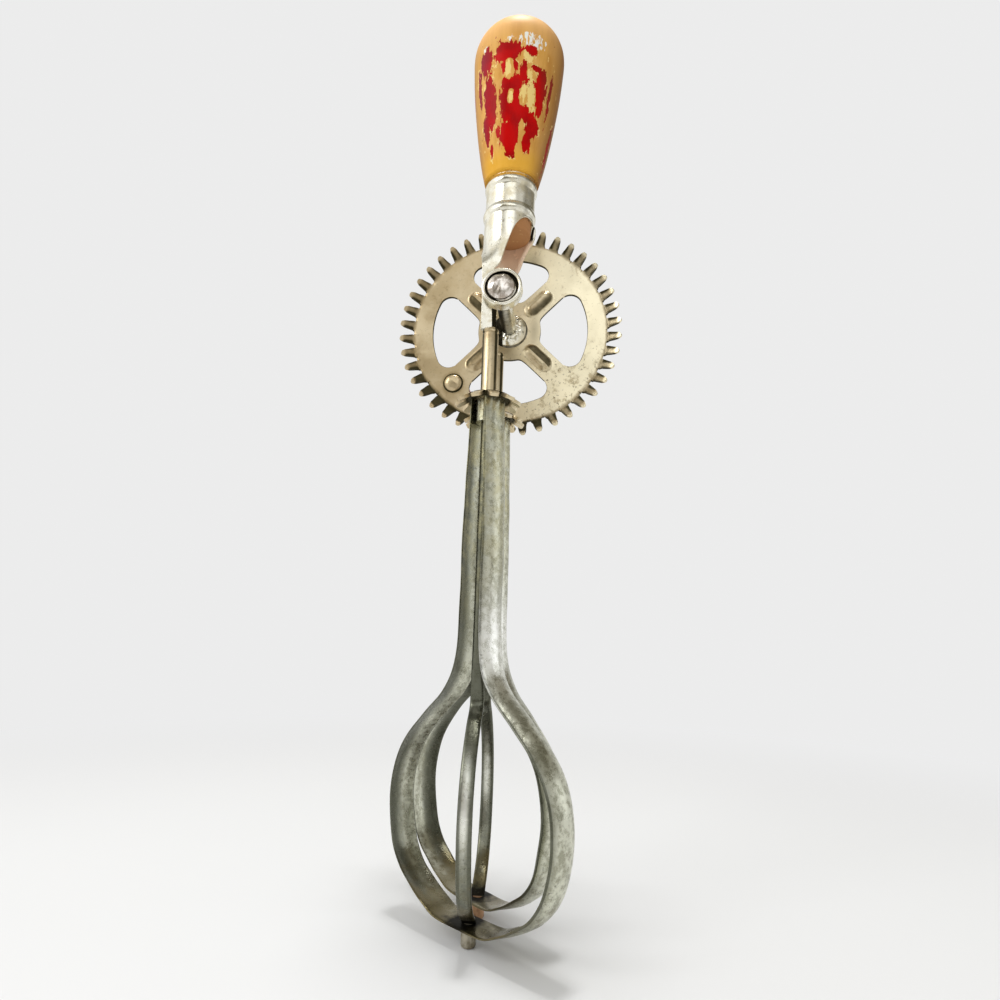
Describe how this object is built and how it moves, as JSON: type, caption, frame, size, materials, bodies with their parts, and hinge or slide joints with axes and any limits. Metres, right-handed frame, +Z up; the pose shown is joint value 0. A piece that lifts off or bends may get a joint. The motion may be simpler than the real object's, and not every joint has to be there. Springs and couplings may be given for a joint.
{
  "type": "rotary egg beater",
  "caption": "Hand-cranked rotary egg beater: a toothed wheel turns two crown pinions that spin interleaved wire-strip loops under a wooden handle.",
  "frame": {"origin": "middle of the flat under the front foot, on the front dasher's axis", "axes": "+Z up along both dashers, +Y from the front dasher towards the wheel, +X to the right seen from the front"},
  "size_m": [0.0766, 0.0653, 0.2825],
  "materials": {
    "nickel": "worn bright nickel plate",
    "wheel_nickel": "tarnished warm nickel plate",
    "tinned_steel": "dull tinned steel with olive stains",
    "copper": "worn copper-coloured pin",
    "painted_wood": "varnished wood with flaking red paint",
    "red_wood": "worn red paint on wood"
  },
  "bodies": {
    "frame": {"ferrule_frame": "nickel", "front_post": "nickel", "rear_post": "nickel", "wood_handle": "painted_wood", "axle_stud": "nickel", "axle_washer": "nickel", "front_arm": "tinned_steel", "rear_arm": "tinned_steel", "front_foot": "tinned_steel", "rear_foot": "copper"},
    "wheel": {"drive_wheel": "wheel_nickel", "wheel_bush": "wheel_nickel", "crank_stud": "wheel_nickel", "knob_washer": "nickel"},
    "knob": {"crank_knob": "red_wood"},
    "front_dasher": {"front_pinion": "wheel_nickel", "front_pinion_hub": "tinned_steel", "front_blade": "tinned_steel"},
    "rear_dasher": {"rear_pinion": "wheel_nickel", "rear_pinion_hub": "tinned_steel", "rear_blade": "tinned_steel"}
  },
  "joints": [
    {"name": "wheel_turn", "type": "hinge", "parent": "frame", "child": "wheel", "pos_m": [0.0031, 0.02729, 0.1797], "axis": [0, 1, 0], "continuous": true},
    {"name": "knob_turn", "type": "hinge", "parent": "wheel", "child": "knob", "pos_m": [-0.01575, 0.02729, 0.16072], "axis": [0, 1, 0], "continuous": true},
    {"name": "front_dasher_turn", "type": "hinge", "parent": "frame", "child": "front_dasher", "pos_m": [0, 0, 0.1], "axis": [0, 0, 1], "continuous": true},
    {"name": "rear_dasher_turn", "type": "hinge", "parent": "frame", "child": "rear_dasher", "pos_m": [0, 0.01728, 0.1], "axis": [0, 0, 1], "continuous": true}
  ],
  "couplings": [
    {"joint": "rear_dasher_turn", "follows": "wheel_turn", "ratio": 4.2},
    {"joint": "front_dasher_turn", "follows": "wheel_turn", "ratio": -4.2}
  ]
}
